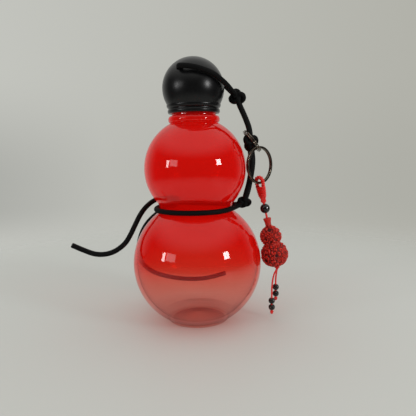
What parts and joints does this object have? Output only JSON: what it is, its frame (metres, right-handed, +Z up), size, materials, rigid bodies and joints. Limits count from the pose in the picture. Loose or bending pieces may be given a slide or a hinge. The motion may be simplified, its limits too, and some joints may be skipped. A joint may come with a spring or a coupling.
{
  "type": "water bottle",
  "caption": "Gourd-shaped glass water bottle with a black ball screw cap tied on by a knotted cord, a key ring and a carved gourd charm with beaded strings.",
  "frame": {"origin": "centre of the foot, on the surface the bottle stands on", "axes": "+Z up the bottle's axis, the front faces -Y, the charm hangs at +X"},
  "size_m": [0.1488, 0.09, 0.1825],
  "materials": {
    "red_glass": "clear glass tinted red from inside, fading to clear at the base",
    "black_cap": "satin black",
    "seal": "matt",
    "black_cord": "round braided black cord",
    "ring_metal": "nickel plated steel",
    "red_cord": "waxed red cord",
    "black_bead": "polished black",
    "carved_red": "carved dark red lacquer"
  },
  "bodies": {
    "bottle": {"bottle_glass": "red_glass", "waist_cord_front": "black_cord", "waist_cord_back": "black_cord", "knot_waist": "black_cord", "knot_back": "black_cord", "knot_middle": "black_cord", "tail_left": "black_cord", "tail_back": "black_cord", "tether_lower_front": "black_cord", "tether_lower_back": "black_cord", "tether_upper_front": "black_cord", "tether_upper_back": "black_cord"},
    "cap_carrier": {"cap_cord": "black_cord", "knot_upper": "black_cord"},
    "cap": {"cap_ball": "black_cap", "cap_collar": "black_cap", "cap_seal": "seal"},
    "small_ring": {"ring_small": "ring_metal"},
    "key_ring": {"ring_key": "ring_metal"},
    "charm": {"charm_cord": "red_cord"},
    "bead": {"charm_bead": "black_bead"},
    "gourd": {"charm_gourd": "carved_red"},
    "left_string": {"string_left": "red_cord"},
    "right_string": {"string_right": "red_cord"},
    "left_top_bead": {"bead_left_top": "black_bead"},
    "left_low_bead": {"bead_left_low": "black_bead"},
    "right_top_bead": {"bead_right_top": "black_bead"},
    "right_low_bead": {"bead_right_low": "black_bead"}
  },
  "joints": [
    {"name": "cap_turn", "type": "hinge", "parent": "cap_carrier", "child": "cap", "pos_m": [0, 0, 0.15], "axis": [0, 0, 1], "range_deg": [0, 1080], "deforming": ["cap_cord"]},
    {"name": "cap_lift", "type": "slide", "parent": "bottle", "child": "cap_carrier", "axis": [0, 0, 1], "range_m": [0, 0.0163], "deforming": ["tether_upper_front", "tether_upper_back"]},
    {"name": "small_ring_swing", "type": "hinge", "parent": "bottle", "child": "small_ring", "pos_m": [0.03408, -0.005, 0.13174], "axis": [0, -1, 0], "range_deg": [0, 30]},
    {"name": "key_ring_swing", "type": "hinge", "parent": "small_ring", "child": "key_ring", "pos_m": [0.04432, -0.005, 0.11868], "axis": [0, -1, 0], "range_deg": [0, 60]},
    {"name": "charm_swing", "type": "hinge", "parent": "key_ring", "child": "charm", "pos_m": [0.04432, -0.005, 0.09657], "axis": [-0.7478, -0.6639, 0], "range_deg": [0, 60]},
    {"name": "bead_spin", "type": "hinge", "parent": "charm", "child": "bead", "pos_m": [0.04791, -0.005, 0.07862], "axis": [0.1959, 0, -0.9806], "continuous": true},
    {"name": "gourd_spin", "type": "hinge", "parent": "charm", "child": "gourd", "pos_m": [0.05314, -0.005, 0.05244], "axis": [0.1959, 0, -0.9806], "continuous": true},
    {"name": "left_string_swing", "type": "hinge", "parent": "charm", "child": "left_string", "pos_m": [0.0563, -0.005, 0.0366], "axis": [0, -1, 0], "range_deg": [-20, 10]},
    {"name": "right_string_swing", "type": "hinge", "parent": "charm", "child": "right_string", "pos_m": [0.0563, -0.005, 0.0366], "axis": [0, -1, 0], "range_deg": [-10, 25]},
    {"name": "left_top_bead_spin", "type": "hinge", "parent": "left_string", "child": "left_top_bead", "pos_m": [0.0521, -0.0068, 0.0126], "axis": [0, 0, 1], "continuous": true},
    {"name": "left_low_bead_spin", "type": "hinge", "parent": "left_string", "child": "left_low_bead", "pos_m": [0.0521, -0.0068, 0.00785], "axis": [0, 0, 1], "continuous": true},
    {"name": "right_top_bead_spin", "type": "hinge", "parent": "right_string", "child": "right_top_bead", "pos_m": [0.0556, -0.0032, 0.0214], "axis": [0, 0, 1], "continuous": true},
    {"name": "right_low_bead_spin", "type": "hinge", "parent": "right_string", "child": "right_low_bead", "pos_m": [0.0556, -0.0032, 0.01665], "axis": [0, 0, 1], "continuous": true}
  ],
  "couplings": [
    {"joint": "cap_lift", "follows": "cap_turn", "m_per_rad": 0.00085944}
  ]
}
